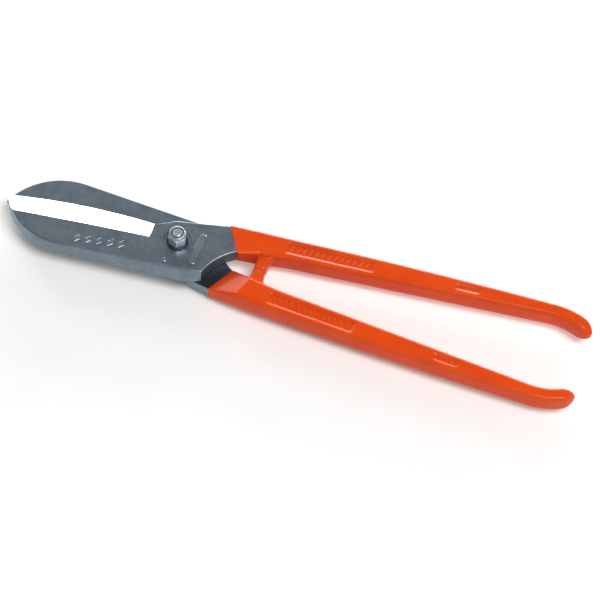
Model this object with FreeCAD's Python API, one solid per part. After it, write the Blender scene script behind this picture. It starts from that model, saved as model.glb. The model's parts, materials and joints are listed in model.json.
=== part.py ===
"""Straight-pattern tinman's snips: two drop-forged halves, each a blade and a
handle in one piece, on one pivot bolt with a lock nut, with dip-coated handles.

The two halves leave the same die. Each is modelled once, in its own frame: the
pivot axis is Z, the blade points to -X and the handle to +X and +Y, the flat
inner face of the blade lies in z = 0 and the outer face looks to +Z. The rear
half is the same forging turned half a turn about X.
"""
import FreeCAD, Part
import math
import os
from FreeCAD import Vector

# ---------------------------------------------------------------- blades, mm
blade_reach = 92.8          # pivot axis to the blade tip
plate_thickness = 7.0       # blade and joint plate, inner face to outer face
tip_overlap = 2.4           # cutting edge past the centre line, at the tip
edge_overlap = 10.2         # cutting edge past the centre line, at the notch
notch_reach = 15.5          # pivot axis to the inner end of the cutting edge
edge_crown = 2.2            # rise of the curved cutting edge over its chord
edge_land = 0.7             # height of the upright land at the cutting edge
bevel_width_tip = 12.4      # ground bevel, measured across the blade at the tip
bevel_width_notch = 12.0    # and at the notch
bevel_end_lean = 1.3        # lean of the wall where the bevel runs out
nose_length = 34.8          # blade tip to the start of the round nose
nose_depth = 21.9           # back of the blade at the start of the nose
nose_radius = 34.6
back_depth = 17.8           # back of the plate at its heel corner
nose_draft = 0.9            # forging draft, as run-in over the plate thickness
back_draft = 3.2
heel_draft = 1.6
joint_draft = 1.1
notch_draft = 4.1
throat_draft = 0.4

# ------------------------------------------------------- joint plate and stops
joint_radius = 13.5         # round of the plate over the pivot bolt
joint_start_angle = 130.0   # degrees, ends of that round
joint_end_angle = 95.0
heel_reach = 17.3           # pivot axis to the heel corner of the plate
heel_length = 6.3           # the back turns in over this length before the heel
heel_rise = 2.9
throat_radius = 30.0        # hollow between the heel and the handle
seat_depth = 0.3            # spot face under the washer and the bolt head
seat_clearance = 0.6        # radial, round the wider of those two
stop_reach = 43.7           # pivot axis to the middle of the stop lug
stop_length = 7.4           # along the handle, at its root
stop_height = 8.8           # through the tool, at its root
stop_taper = 1.0            # run-in of each side towards the stop face
stop_gap = 0.03             # half of the gap left between the two stop faces

# -------------------------------------------------------------------- handles
handle_reach = 212.2        # pivot axis to the end of the handle
handle_thickness = 10.6     # through the tool
handle_round = 1.7          # rounding along the handle's four edges
dip_outer = Vector(22.2, 17.5, 0)     # ends of the line where the plate stops
dip_inner = Vector(30.6, 3.3, 0)      # and the coating starts
ramp_outer = Vector(37.3, 20.0, 0)    # ends of the line where the inner face
ramp_inner = Vector(41.6, 7.3, 0)     # has run out to the handle's full depth
shoulder_thickness = 5.9    # handle face above the centre plane at that line
grip_start = 57.0           # pivot axis to where the handle becomes regular
grip_outer_start = 21.5     # outer side there, from the centre line
grip_inner_start = 9.6
grip_outer_end = 27.4       # outer side where the end curl starts
grip_inner_end = 21.1
grip_crown = 0.8            # bow of the outer side over its chord
curl_radius = 34.0          # centre line of the handle in the end curl
curl_turn = 32.0            # degrees turned inward by the curl
end_cap_length = 3.8
coat_thickness = 0.3

# ----------------------------------------------------- recessed handle panels
panel_start = 54.5
panel_end = 98.5
panel_width = 5.4
panel_depth = 0.7
panel_bars = 13
small_panel_start = 140.5
small_panel_end = 153.0
small_panel_width = 3.2
small_panel_bars = 3
bar_width = 0.9
bar_height = 0.4
bar_margin = 0.85           # panel floor left free at both ends of a bar
bar_lean = 20.0             # degrees

# ------------------------------------------------- raised marks on the plates
mark_height = 0.35
mark_count = 5
mark_reach = 48.3           # pivot axis to the first lozenge of the row
mark_drop = 14.5            # centre line to that lozenge
mark_pitch = 5.6
mark_slope = 9.0            # degrees, lean of the row towards the pivot
mark_long = 5.6             # lozenge diagonals
mark_short = 3.4
mark_lean = 15.0            # degrees, lean of each lozenge
pad_reach = 11.2            # pivot axis to the middle of the long pad beside the nut
pad_drop = 1.4
pad_length = 19.0
pad_width = 4.0
pad_lean = 4.0              # degrees
dot_radius = 1.3
dot_reach = 2.7             # pivot axis to the dot, towards the tip
dot_drop = 12.5

# -------------------------------------------------------------- pivot hardware
bolt_diameter = 5.0
neck_width = 7.4            # square neck of the bolt, across flats
head_radius = 6.9
head_height = 3.6
head_flat_radius = 3.1      # flat crown of the domed head
head_dome_radius = 9.0
nut_across_flats = 8.4
nut_hex_height = 5.5
nut_chamfer = 30.0          # degrees, chamfer of the hexagon's corners
nut_collar_radius = 4.1
nut_collar_height = 1.8
nut_collar_wall = 0.75
nut_collar_edge = 0.35      # chamfer round the collar's top
nut_turn = 40.0             # degrees, where the nut came to rest
washer_radius = 5.5
washer_thickness = 1.0
washer_edge = 0.45          # broken upper edge
insert_height = 1.1
insert_recess = 0.35        # insert's top below the collar's top
bolt_protrusion = 0.9       # bolt end past the top of the nut
bolt_end_chamfer = 0.6
pivot_clearance = 0.05      # radial, bolt in the front half's bore
neck_clearance = 0.05       # each side, square neck in the rear half
thread_clearance = 0.04     # radial, bolt in nut, insert and washer
blade_clearance = 0.02      # half of the gap between the blades' inner faces
washer_clearance = 0.02     # under the washer, so that the joint turns

OVER = 1.0                  # how far cutters run past the faces they cut
LINE_STEPS = 8              # regular sections along the grip
CURL_STEPS = 5
CAP_STEPS = 5
CAP_TURN = 80.0             # degrees of the end's quarter round that the sections cover


# ------------------------------------------------------------------- helpers
def up(point, z):
    """The plan point raised to height z."""
    return Vector(point.x, point.y, z)


def on_circle(centre, radius, degrees):
    """The point of a plan circle at an angle from +X."""
    turn = math.radians(degrees)
    return centre + Vector(radius * math.cos(turn), radius * math.sin(turn), 0)


def leaning(degrees):
    """The plan direction that leans from +Y towards +X."""
    return on_circle(Vector(0, 0, 0), 1, 90 - degrees)


def angle_of(point, centre):
    """The angle from +X, in degrees, at which centre sees the point."""
    return math.degrees(math.atan2(point.y - centre.y, point.x - centre.x))


def circle_centre(a, b, radius):
    """Centre of the circle of that radius through a and b, left of a to b."""
    chord = b - a
    half = chord.Length / 2
    left = Vector(-chord.y, chord.x, 0).normalize()
    return (a + b) * 0.5 + left * math.sqrt(radius ** 2 - half ** 2)


def arc_between(a, b, centre):
    """The shorter arc from a to b round centre."""
    middle = ((a + b) * 0.5 - centre).normalize() * (a - centre).Length
    return Part.Arc(a, centre + middle, b).toShape()


def bowed(a, b, rise):
    """An arc from a to b that rises to the left of a to b."""
    chord = b - a
    left = Vector(-chord.y, chord.x, 0).normalize()
    return Part.Arc(a, (a + b) * 0.5 + left * rise, b).toShape()


def at_height(edges, z):
    """The closed wire of plan edges, at height z."""
    wire = Part.Wire(edges)
    wire.translate(Vector(0, 0, z))
    return wire


def disc(radius, low, high):
    """An upright cylinder on the pivot axis."""
    return Part.makeCylinder(radius, high - low, Vector(0, 0, low))


def turned(profile):
    """The solid of revolution of (radius, z) points about the pivot axis."""
    points = [Vector(radius, 0, z) for radius, z in profile]
    face = Part.Face(Part.makePolygon(points + points[:1]))
    return face.revolve(Vector(0, 0, 0), Vector(0, 0, 1), 360)


def hexagon(across_flats, low, high):
    """An upright hexagonal prism on the pivot axis."""
    corner = across_flats / math.sqrt(3)
    points = [on_circle(Vector(0, 0, low), corner, 60 * i) for i in range(7)]
    return Part.Face(Part.makePolygon(points)).extrude(Vector(0, 0, high - low))


def slot_prism(start, end, width, low, high):
    """A prism with a round-ended slot as its plan, start and end being its extremes."""
    along = (end - start).normalize()
    side = Vector(-along.y, along.x, 0) * (width / 2)
    a, b = start + along * (width / 2), end - along * (width / 2)
    edges = [Part.makeLine(a + side, b + side), Part.Arc(b + side, end, b - side).toShape(),
             Part.makeLine(b - side, a - side), Part.Arc(a - side, start, a + side).toShape()]
    return Part.Face(at_height(edges, low)).extrude(Vector(0, 0, high - low))


def lozenge_prism(centre, low, high):
    """A prism with a lozenge as its plan, its long diagonal leaning from +Y."""
    long, short = leaning(mark_lean) * (mark_long / 2), leaning(mark_lean + 90) * (mark_short / 2)
    points = [up(centre + corner, low) for corner in (long, short, -long, -short, long)]
    return Part.Face(Part.makePolygon(points)).extrude(Vector(0, 0, high - low))


# ------------------------------------------------------------- blade and plate
def edge_ends():
    """The two ends of the cutting edge, at the tip and at the notch."""
    return Vector(-blade_reach, tip_overlap, 0), Vector(-notch_reach, edge_overlap, 0)


def plate_edges(run_in):
    """Plan edges of the plate; run_in is 0 at the inner face, 1 at the outer."""
    pivot = Vector(0, 0, 0)
    tip, notch = edge_ends()
    nose_start = Vector(nose_length - blade_reach, -nose_depth, 0)
    nose_centre = circle_centre(tip, nose_start, nose_radius)
    nose = nose_radius - run_in * nose_draft
    tip_angle, start_angle = angle_of(tip, nose_centre), angle_of(nose_start, nose_centre)
    tip = on_circle(nose_centre, nose, tip_angle)
    nose_start = on_circle(nose_centre, nose, start_angle)

    joint = joint_radius - run_in * joint_draft
    neck = on_circle(pivot, joint, joint_start_angle)
    crest = on_circle(pivot, joint, joint_end_angle)
    notch = notch + Vector(run_in * bevel_end_lean, -run_in * notch_draft, 0)
    shoulder = dip_outer + (dip_inner - dip_outer).normalize() * run_in * throat_draft

    heel = Vector(heel_reach, -back_depth + heel_rise + run_in * heel_draft, 0)
    back = Vector(heel_reach - heel_length, -back_depth + run_in * back_draft, 0)
    return [
        bowed(notch, tip, -edge_crown),
        arc_between(tip, nose_start, nose_centre),
        Part.makeLine(nose_start, back),
        Part.makeLine(back, heel),
        arc_between(heel, dip_inner, circle_centre(dip_inner, heel, throat_radius)),
        Part.makeLine(dip_inner, shoulder),
        Part.makeLine(shoulder, crest),
        arc_between(crest, neck, pivot),
        Part.makeLine(neck, notch),
    ]


def bevel_cutter():
    """The stock that grinding takes off above the cutting edge."""
    tip, notch = edge_ends()
    far = Vector(0, blade_reach, 0)
    low = [bowed(notch, tip, -edge_crown), Part.makeLine(tip, tip + far),
           Part.makeLine(tip + far, notch + far), Part.makeLine(notch + far, notch)]
    reach = (plate_thickness + OVER - edge_land) / (plate_thickness - edge_land)
    top_tip = tip - Vector(OVER, bevel_width_tip * reach, 0)
    top_notch = notch + Vector(bevel_end_lean, -bevel_width_notch * reach, 0)
    high = [Part.makeLine(top_notch, top_tip), Part.makeLine(top_tip, top_tip + far * 2),
            Part.makeLine(top_tip + far * 2, top_notch + far * 2),
            Part.makeLine(top_notch + far * 2, top_notch)]
    wires = [at_height(low, edge_land), at_height(high, plate_thickness + OVER)]
    return Part.makeLoft(wires, True, True)


def plate_marks():
    """Plain raised marks on the outer face: lozenges, a long pad and a dot."""
    low, high = plate_thickness - OVER, plate_thickness + mark_height
    row_start = Vector(-mark_reach, -mark_drop, 0)
    row = leaning(90 - mark_slope) * mark_pitch
    marks = [lozenge_prism(row_start + row * i, low, high) for i in range(mark_count)]
    pad = Vector(pad_reach, -pad_drop, 0)
    half_pad = leaning(pad_lean) * (pad_length / 2)
    marks.append(slot_prism(pad - half_pad, pad + half_pad, pad_width, low, high))
    dot = Part.makeCylinder(dot_radius, high - low, Vector(-dot_reach, -dot_drop, low))
    return marks + [dot]


def seat_radius():
    """Radius of the spot face round the pivot hole."""
    return max(washer_radius, head_radius) + seat_clearance


def plate():
    """One blade with its joint plate, before the handle is joined to it."""
    body = Part.makeLoft([at_height(plate_edges(0), 0), at_height(plate_edges(1), plate_thickness)],
                         True, True)
    body = body.cut(bevel_cutter())
    body = body.fuse(plate_marks())
    return body.cut(disc(seat_radius(), plate_thickness - seat_depth, plate_thickness + OVER))


# -------------------------------------------------------------------- handle
def ring_section(inner, outer, low, high, radius):
    """A rounded rectangle that stands on the plan line from inner to outer."""
    side = (outer - inner).normalize()
    width, rise = (outer - inner).Length, Vector(0, 0, 1)

    def point(s, z):
        return inner + side * s + rise * z

    k = radius * (1 - math.sqrt(0.5))
    r = radius
    return Part.Wire([
        Part.makeLine(point(r, low), point(width - r, low)),
        Part.Arc(point(width - r, low), point(width - k, low + k), point(width, low + r)).toShape(),
        Part.makeLine(point(width, low + r), point(width, high - r)),
        Part.Arc(point(width, high - r), point(width - k, high - k), point(width - r, high)).toShape(),
        Part.makeLine(point(width - r, high), point(r, high)),
        Part.Arc(point(r, high), point(k, high - k), point(0, high - r)).toShape(),
        Part.makeLine(point(0, high - r), point(0, low + r)),
        Part.Arc(point(0, low + r), point(k, low + k), point(r, low)).toShape(),
    ])


def grown_section(inner, outer, low, high, radius, grow):
    """The same section with every side moved out by grow."""
    side = (outer - inner).normalize() * grow
    return ring_section(inner - side, outer + side, low - grow, high + grow, radius + grow)


def curl_start():
    """Distance from the pivot axis at which the curl starts, for its end to fall at reach."""
    lean = math.degrees(math.atan2(grip_outer_end + grip_inner_end - grip_outer_start - grip_inner_start,
                                   2 * (handle_reach - grip_start)))
    turn, start = math.radians(curl_turn - lean), math.radians(lean)
    length = curl_radius * (math.sin(turn) + math.sin(start))
    return handle_reach - length - end_cap_length, lean


def grip_sections(grow):
    """Sections of the regular grip, from the ramp to the start of the curl."""
    half = handle_thickness / 2
    end, _ = curl_start()
    sections = [grown_section(ramp_inner, ramp_outer, -half, shoulder_thickness, handle_round, grow)]
    for i in range(LINE_STEPS + 1):
        share = i / LINE_STEPS
        x = grip_start + share * (end - grip_start)
        bow = 4 * grip_crown * share * (1 - share)
        outer = grip_outer_start + share * (grip_outer_end - grip_outer_start) + bow
        inner = grip_inner_start + share * (grip_inner_end - grip_inner_start)
        sections.append(grown_section(Vector(x, inner, 0), Vector(x, outer, 0), -half, half,
                                      handle_round, grow))
    return sections


def curl_sections(grow):
    """Sections round the inward curl, then the closing ones of the round end."""
    half_depth = handle_thickness / 2
    half_width = (grip_outer_end - grip_inner_end) / 2
    start_x, lean = curl_start()
    start = Vector(start_x, (grip_outer_end + grip_inner_end) / 2, 0)
    centre = start - on_circle(Vector(0, 0, 0), curl_radius, 90 + lean)
    curl, cap = [], []
    for i in range(CURL_STEPS + 1):
        angle = 90 + lean - curl_turn * i / CURL_STEPS
        middle = on_circle(centre, curl_radius, angle)
        side = on_circle(Vector(0, 0, 0), half_width, angle)
        curl.append(grown_section(middle - side, middle + side, -half_depth, half_depth,
                                  handle_round, grow))
    ahead = on_circle(Vector(0, 0, 0), 1, angle - 90)
    length = end_cap_length + grow
    for i in range(CAP_STEPS + 1):
        turn = math.radians(CAP_TURN * i / CAP_STEPS)
        shrink = math.cos(turn)
        width, depth = (half_width + grow) * shrink, half_depth + grow - length * (1 - shrink)
        place = middle + ahead * (length * math.sin(turn))
        side = on_circle(Vector(0, 0, 0), width, angle)
        radius = (handle_round + grow) * shrink
        cap.append(ring_section(place - side, place + side, -depth, depth, radius))
    return curl, cap


def stop_lug(grow):
    """The tapered lug that meets the other half's lug when the snips close."""
    root_y = (grip_inner_start + ramp_inner.y) / 2 + handle_round
    face_y = stop_gap + coat_thickness - grow
    half, height = stop_length / 2, stop_height / 2

    def section(y, taper):
        left = Vector(stop_reach - half + taper, y, 0)
        right = Vector(stop_reach + half - taper, y, 0)
        return grown_section(left, right, -height + taper, height - taper, handle_round, grow)

    return Part.makeLoft([section(face_y, stop_taper), section(root_y, 0)], True, True)


def panel_cutter(start, end, width, bars, grow):
    """The stock to take off for one recessed panel, with plain bars left standing in it."""
    end_x, _ = curl_start()
    first = (grip_outer_start + grip_inner_start) / 2
    last = (grip_outer_end + grip_inner_end) / 2
    mean_bow = grip_crown / 3

    def middle(x):
        share = (x - grip_start) / (end_x - grip_start)
        return Vector(x, first + share * (last - first) + mean_bow, 0)

    floor = handle_thickness / 2 - panel_depth + grow
    a, b = middle(start), middle(end)
    along = (b - a).normalize() * grow
    pocket = slot_prism(a + along, b - along, width - 2 * grow, floor, handle_thickness)
    bar_length = (width - 2 * bar_margin) / math.cos(math.radians(bar_lean))
    half_bar = leaning(bar_lean) * (bar_length / 2 + grow)
    standing = []
    for i in range(bars):
        place = middle(start + (end - start) * (i + 1) / (bars + 1))
        standing.append(slot_prism(place - half_bar, place + half_bar, bar_width + 2 * grow,
                                   floor - OVER, floor + bar_height))
    return pocket.cut(standing)


def handle(grow):
    """The handle from the dip line to its end, with every face moved out by grow."""
    dip = grown_section(dip_inner, dip_outer, 0, plate_thickness, throat_draft, grow)
    grip = grip_sections(grow)
    curl, cap = curl_sections(grow)
    body = Part.makeLoft([dip, grip[0]], True, True)
    body = body.fuse([Part.makeLoft(grip + curl[1:], True, False),
                      Part.makeLoft(cap, True, False), stop_lug(grow)])
    cutters = [panel_cutter(panel_start, panel_end, panel_width, panel_bars, grow),
               panel_cutter(small_panel_start, small_panel_end, small_panel_width,
                            small_panel_bars, grow)]
    cutters += [cutter.mirror(Vector(0, 0, 0), Vector(0, 0, 1)) for cutter in cutters]
    return body.cut(cutters)


def handle_root():
    """The steel that carries the handle's first section on into the plate."""
    back = (dip_outer - dip_inner).cross(Vector(0, 0, 1)).normalize() * -2 * OVER
    wires = [grown_section(dip_inner + back, dip_outer + back, 0, plate_thickness, 2 * OVER, -OVER),
             ring_section(dip_inner, dip_outer, 0, plate_thickness, throat_draft)]
    return Part.makeLoft(wires, True, True)


# ------------------------------------------------------------- pivot hardware
def bolt():
    """The pivot bolt: domed head, square neck, round shank."""
    seat = -(plate_thickness - seat_depth) - blade_clearance
    bottom = seat - head_height
    end = nut_top() + bolt_protrusion
    radius = bolt_diameter / 2
    crown = Part.makeSphere(head_dome_radius, Vector(
        0, 0, bottom + math.sqrt(head_dome_radius ** 2 - head_flat_radius ** 2)))
    neck = Part.makeBox(neck_width, neck_width, -seat - blade_clearance,
                        Vector(-neck_width / 2, -neck_width / 2, seat))
    shank = turned([(0, seat), (radius, seat), (radius, end - bolt_end_chamfer),
                    (radius - bolt_end_chamfer, end), (0, end)])
    return disc(head_radius, bottom, seat).common(crown).fuse([neck, shank]).removeSplitter()


def washer_base():
    """Height of the washer's lower face."""
    return plate_thickness - seat_depth + blade_clearance + washer_clearance


def nut_base():
    """Height of the nut's lower face."""
    return washer_base() + washer_thickness


def nut_top():
    """Height of the top of the nut's collar."""
    return nut_base() + nut_hex_height + nut_collar_height


def washer():
    """Plain washer with a broken upper edge."""
    base, hole = washer_base(), bolt_diameter / 2 + thread_clearance
    return turned([(hole, base), (washer_radius, base), (washer_radius, nut_base() - washer_edge),
                   (washer_radius - washer_edge, nut_base()), (hole, nut_base())])


def nut():
    """Lock nut: chamfered hexagon with a collar that holds the insert."""
    base, flange, top = nut_base(), nut_base() + nut_hex_height, nut_top()
    corner, flat = nut_across_flats / math.sqrt(3), nut_across_flats / 2
    slope = (corner - flat) * math.tan(math.radians(nut_chamfer))
    envelope = turned([(0, base), (flat, base), (corner, base + slope), (corner, flange - slope),
                       (flat, flange), (0, flange)])
    body = hexagon(nut_across_flats, base, flange).common(envelope)
    collar = turned([(0, flange - OVER), (nut_collar_radius, flange - OVER),
                     (nut_collar_radius, top - nut_collar_edge),
                     (nut_collar_radius - nut_collar_edge, top), (0, top)])
    body = body.fuse(collar)
    body = body.cut(disc(insert_radius(), top - insert_recess - insert_height, top + OVER))
    body = body.cut(disc(bolt_diameter / 2 + thread_clearance, base - OVER, top))
    body.rotate(Vector(0, 0, 0), Vector(0, 0, 1), nut_turn)
    return body.removeSplitter()


def insert_radius():
    """Outer radius of the insert, inside the nut's collar."""
    return nut_collar_radius - nut_collar_wall


def nut_insert():
    """The ring in the nut's collar that grips the bolt's thread."""
    top = nut_top() - insert_recess
    base = top - insert_height
    return disc(insert_radius(), base, top).cut(
        disc(bolt_diameter / 2 + thread_clearance, base - OVER, top + OVER))


# ------------------------------------------------------------------- assembly
def bore(square):
    """The cutter for the pivot hole: round, or square for the bolt's neck."""
    low, high = -OVER, plate_thickness + OVER
    if not square:
        return disc(bolt_diameter / 2 + pivot_clearance, low, high)
    side = neck_width + 2 * neck_clearance
    return Part.makeBox(side, side, high - low, Vector(-side / 2, -side / 2, low))


def half(square):
    """One forging and its coat, in the half's own frame, lifted off the other."""
    forging = plate().fuse([handle_root(), handle(0)]).cut(bore(square)).removeSplitter()
    coat = handle(coat_thickness).cut(forging)
    for shape in (forging, coat):
        shape.translate(Vector(0, 0, blade_clearance))
    return forging, coat


def only_solid(shape):
    """The single solid of a shape."""
    solids = shape.Solids
    if len(solids) != 1:
        raise ValueError("expected one solid, got %d" % len(solids))
    return solids[0]


def build():
    """All nodes, with the pivot axis on Z and the blades meeting in z = 0."""
    front_forging, front_coat = half(square=False)
    rear_forging, rear_coat = half(square=True)
    for shape in (rear_forging, rear_coat):
        shape.rotate(Vector(0, 0, 0), Vector(1, 0, 0), 180)
    return {
        "front_forging": front_forging,
        "rear_forging": rear_forging,
        "front_handle_coat": front_coat,
        "rear_handle_coat": rear_coat,
        "pivot_bolt": bolt(),
        "pivot_washer": washer(),
        "lock_nut": nut(),
        "nut_insert": nut_insert(),
    }


def main():
    """Builds the nodes, sets the origin under the middle of the tool and writes the files."""
    nodes = {name: only_solid(shape) for name, shape in build().items()}
    box = FreeCAD.BoundBox()
    for shape in nodes.values():
        box.add(shape.optimalBoundingBox(False, False))
    origin = Vector(box.Center.x, box.Center.y, box.ZMin)
    os.makedirs("parts", exist_ok=True)
    for name, shape in nodes.items():
        shape.translate(origin * -1)
        shape.exportStep("parts/%s.step" % name)
        print("%-18s %10.1f mm3  valid %s" % (name, shape.Volume, shape.isValid()))
    print("pivot axis at x %.3f y %.3f, blades meet at z %.3f" % (-origin.x, -origin.y, -origin.z))
    print("overall %.2f x %.2f x %.2f" % (box.XLength, box.YLength, box.ZLength))


main()
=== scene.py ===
"""Looks of the straight tin snips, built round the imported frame.

Everything is in metres and in the frame's own axes. The classes work in
millimetres in the half's own frame, as a toolmaker's drawing would: the pivot
axis is Z, the blade points to -X, the handle to +X and +Y, and the flat inner
face of the blade lies in z = 0. Both halves leave the same die, so one set of
meshes serves the front half and, turned half a turn about X, the rear half.
"""

from __future__ import annotations

import json
import logging
import math
from collections.abc import Callable, Sequence
from dataclasses import dataclass
from enum import Enum
from functools import partial

import bmesh
import bpy
from mathutils import Matrix, Vector


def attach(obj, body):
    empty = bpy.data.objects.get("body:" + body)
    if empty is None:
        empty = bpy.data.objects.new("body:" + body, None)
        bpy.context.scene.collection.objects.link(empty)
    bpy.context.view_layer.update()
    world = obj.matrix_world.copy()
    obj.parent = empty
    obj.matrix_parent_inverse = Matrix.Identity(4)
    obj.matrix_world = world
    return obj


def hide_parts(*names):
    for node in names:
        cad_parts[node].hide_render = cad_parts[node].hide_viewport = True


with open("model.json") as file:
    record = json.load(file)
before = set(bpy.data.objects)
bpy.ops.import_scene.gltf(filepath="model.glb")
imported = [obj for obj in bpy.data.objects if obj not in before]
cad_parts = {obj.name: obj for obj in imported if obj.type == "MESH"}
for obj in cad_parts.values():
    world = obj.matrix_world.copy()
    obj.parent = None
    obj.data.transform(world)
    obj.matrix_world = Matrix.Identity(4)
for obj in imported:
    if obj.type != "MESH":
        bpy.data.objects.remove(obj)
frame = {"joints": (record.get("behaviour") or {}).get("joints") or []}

LOG = logging.getLogger("snips")
MM = 0.001
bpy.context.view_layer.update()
PIVOT = Vector(frame["joints"][0]["pos_m"])
UP = Vector((0.0, 0.0, 1.0))
AXIS = Vector((0.0, 0.0, 0.0))  # the pivot axis in the plan view


class Half(Enum):
    """The two halves of the snips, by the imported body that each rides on."""

    FRONT = "front_half"
    REAR = "rear_half"


class Cut(Enum):
    """What a tool body does to the stock."""

    REMOVE = "DIFFERENCE"
    ADD = "UNION"


class Slot(Enum):
    """The record's material slots."""

    STEEL = "forged_steel"
    COAT = "handle_coat"
    PLATED = "plated_steel"
    WASHER = "dark_washer"
    NYLON = "insert_nylon"


# ------------------------------------------------------------------ geometry
def plan(x: float, y: float) -> Vector:
    """A point of the plan view, at z = 0."""
    return Vector((x, y, 0.0))


def at(point: Vector, z: float) -> Vector:
    """The plan point lifted to height z."""
    return Vector((point.x, point.y, z))


def polar(centre: Vector, radius: float, degrees: float) -> Vector:
    """The point of a plan circle at an angle from +X."""
    turn = math.radians(degrees)
    return centre + plan(radius * math.cos(turn), radius * math.sin(turn))


def leaning(degrees: float) -> Vector:
    """The plan direction that leans from +Y towards +X."""
    return polar(AXIS, 1.0, 90.0 - degrees)


def circle(centre: Vector, radius: float, count: int, start: float = 0.0) -> list[Vector]:
    """Evenly spaced points of a plan circle, counter-clockwise."""
    return [polar(centre, radius, start + 360 * i / count) for i in range(count)]


def rounding(radius: float, count: int, degrees: float = 90.0) -> list[tuple[float, float]]:
    """Steps of an edge that is rounded over from its side to its top.

    Args:
        radius: Radius of the rounding.
        count: Number of steps.
        degrees: How far it turns.

    Returns:
        How far each step is drawn in from the side, and how far it lies under the top.
    """
    turns = [math.radians(degrees * k / count) for k in range(count + 1)]
    return [(radius * (1 - math.cos(turn)), radius * (1 - math.sin(turn))) for turn in turns]


def straight(a: Vector, b: Vector, count: int) -> list[Vector]:
    """Points from a towards b, without b."""
    return [a.lerp(b, i / count) for i in range(count)]


def circle_centre(a: Vector, b: Vector, radius: float) -> Vector:
    """Centre of the circle of that radius through a and b, left of a to b.

    Args:
        a: First point of the plan.
        b: Second point of the plan.
        radius: Radius in millimetres.

    Returns:
        The centre, in the plan.
    """
    chord = b - a
    left = plan(-chord.y, chord.x).normalized()
    return (a + b) / 2 + left * math.sqrt(radius**2 - (chord.length / 2) ** 2)


def arc(a: Vector, b: Vector, centre: Vector, count: int) -> list[Vector]:
    """Points of the shorter arc from a towards b round centre, without b.

    Args:
        a: Start of the arc.
        b: End of the arc.
        centre: Centre of the arc.
        count: Number of points.

    Returns:
        The points, in the plan.
    """
    start = math.degrees(math.atan2(a.y - centre.y, a.x - centre.x))
    end = math.degrees(math.atan2(b.y - centre.y, b.x - centre.x))
    sweep = (end - start + 180.0) % 360.0 - 180.0
    radius = (a - centre).length
    return [polar(centre, radius, start + sweep * i / count) for i in range(count)]


def bowed(a: Vector, b: Vector, rise: float, count: int) -> list[Vector]:
    """Points of the arc that rises to the left of a to b, without b.

    Args:
        a: Start of the chord.
        b: End of the chord.
        rise: Height of the arc over its chord, negative to the right.
        count: Number of points.

    Returns:
        The points, in the plan.
    """
    chord = (b - a).length
    radius = (chord**2 / 4 + rise**2) / (2 * abs(rise))
    if rise < 0:
        return arc(a, b, circle_centre(a, b, radius), count)
    return arc(a, b, circle_centre(b, a, radius), count)


def ease(value: float, low: float, high: float) -> float:
    """A smooth step from 0 at low to 1 at high."""
    share = min(1.0, max(0.0, (value - low) / (high - low)))
    return share * share * (3.0 - 2.0 * share)


def inset(outline: Sequence[Vector], depths: Sequence[float]) -> list[Vector]:
    """The outline with each point moved inwards by its own depth.

    Args:
        outline: Closed plan outline, counter-clockwise.
        depths: How far each point moves, in millimetres.

    Returns:
        The moved points.
    """
    moved, count = [], len(outline)
    for i, point in enumerate(outline):
        before = (point - outline[i - 1]).normalized()
        after = (outline[(i + 1) % count] - point).normalized()
        normal = plan(-before.y - after.y, before.x + after.x)
        normal.normalize()
        mitre = max(0.55, normal.dot(plan(-after.y, after.x)))
        moved.append(point + normal * (depths[i] / mitre))
    return moved


def skin(name: str, rings: Sequence[Sequence[Vector]], tube: bool = False) -> bpy.types.Mesh:
    """A closed mesh through rings of points.

    Args:
        name: Name of the mesh.
        rings: Rings with the same number of points, in order.
        tube: Whether the last ring joins the first instead of both being capped.

    Returns:
        The mesh, with its faces looking outwards.
    """
    count, total = len(rings[0]), len(rings)
    points = [point for ring in rings for point in ring]
    faces = []
    for r in range(total if tube else total - 1):
        low, high = r * count, (r + 1) % total * count
        for i in range(count):
            j = (i + 1) % count
            faces.append((low + i, low + j, high + j, high + i))
    if not tube:
        faces.append(tuple(reversed(range(count))))
        faces.append(tuple(range((total - 1) * count, total * count)))
    mesh = bpy.data.meshes.new(name)
    mesh.from_pydata(points, [], faces)
    tidy = bmesh.new()
    tidy.from_mesh(mesh)
    bmesh.ops.recalc_face_normals(tidy, faces=tidy.faces)
    tidy.to_mesh(mesh)
    tidy.free()
    return mesh


def prism(name: str, outline: Sequence[Vector], low: float, high: float) -> bpy.types.Mesh:
    """An upright body on a plan outline, from one height to another."""
    return skin(name, [[at(point, z) for point in outline] for z in (low, high)])


def dice(mesh: bpy.types.Mesh, step: float) -> None:
    """Divides the large faces, so that wear stays close to the edges it belongs to.

    Args:
        mesh: Mesh that is changed.
        step: Largest size of a face along X and Y, in millimetres.
    """
    work = bmesh.new()
    work.from_mesh(mesh)
    for axis in (0, 1):
        values = [vertex.co[axis] for vertex in work.verts]
        place, end = min(values) + step, max(values)
        normal = Vector([float(axis == i) for i in range(3)])
        while place < end:
            geometry = work.verts[:] + work.edges[:] + work.faces[:]
            bmesh.ops.bisect_plane(
                work, geom=geometry, dist=1e-4, plane_co=normal * place, plane_no=normal)
            place += step
    work.to_mesh(mesh)
    work.free()


def carve(stock: bpy.types.Mesh, tools: Sequence[tuple[bpy.types.Mesh, Cut]]) -> bpy.types.Mesh:
    """The stock after each tool body was taken from it or joined to it.

    Args:
        stock: Closed mesh to start from.
        tools: Closed meshes, each with what it does.

    Returns:
        A new mesh.
    """
    bodies = [bpy.data.objects.new("stock", stock)]
    for mesh, cut in tools:
        tool = bpy.data.objects.new("tool", mesh)
        bodies.append(tool)
        step = bodies[0].modifiers.new("carve", "BOOLEAN")
        step.operation, step.solver, step.object = cut.value, "EXACT", tool
    for body in bodies:
        bpy.context.scene.collection.objects.link(body)
    graph = bpy.context.evaluated_depsgraph_get()
    made = bpy.data.meshes.new_from_object(bodies[0].evaluated_get(graph))
    for body in bodies:
        bpy.data.objects.remove(body)
    return made


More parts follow.
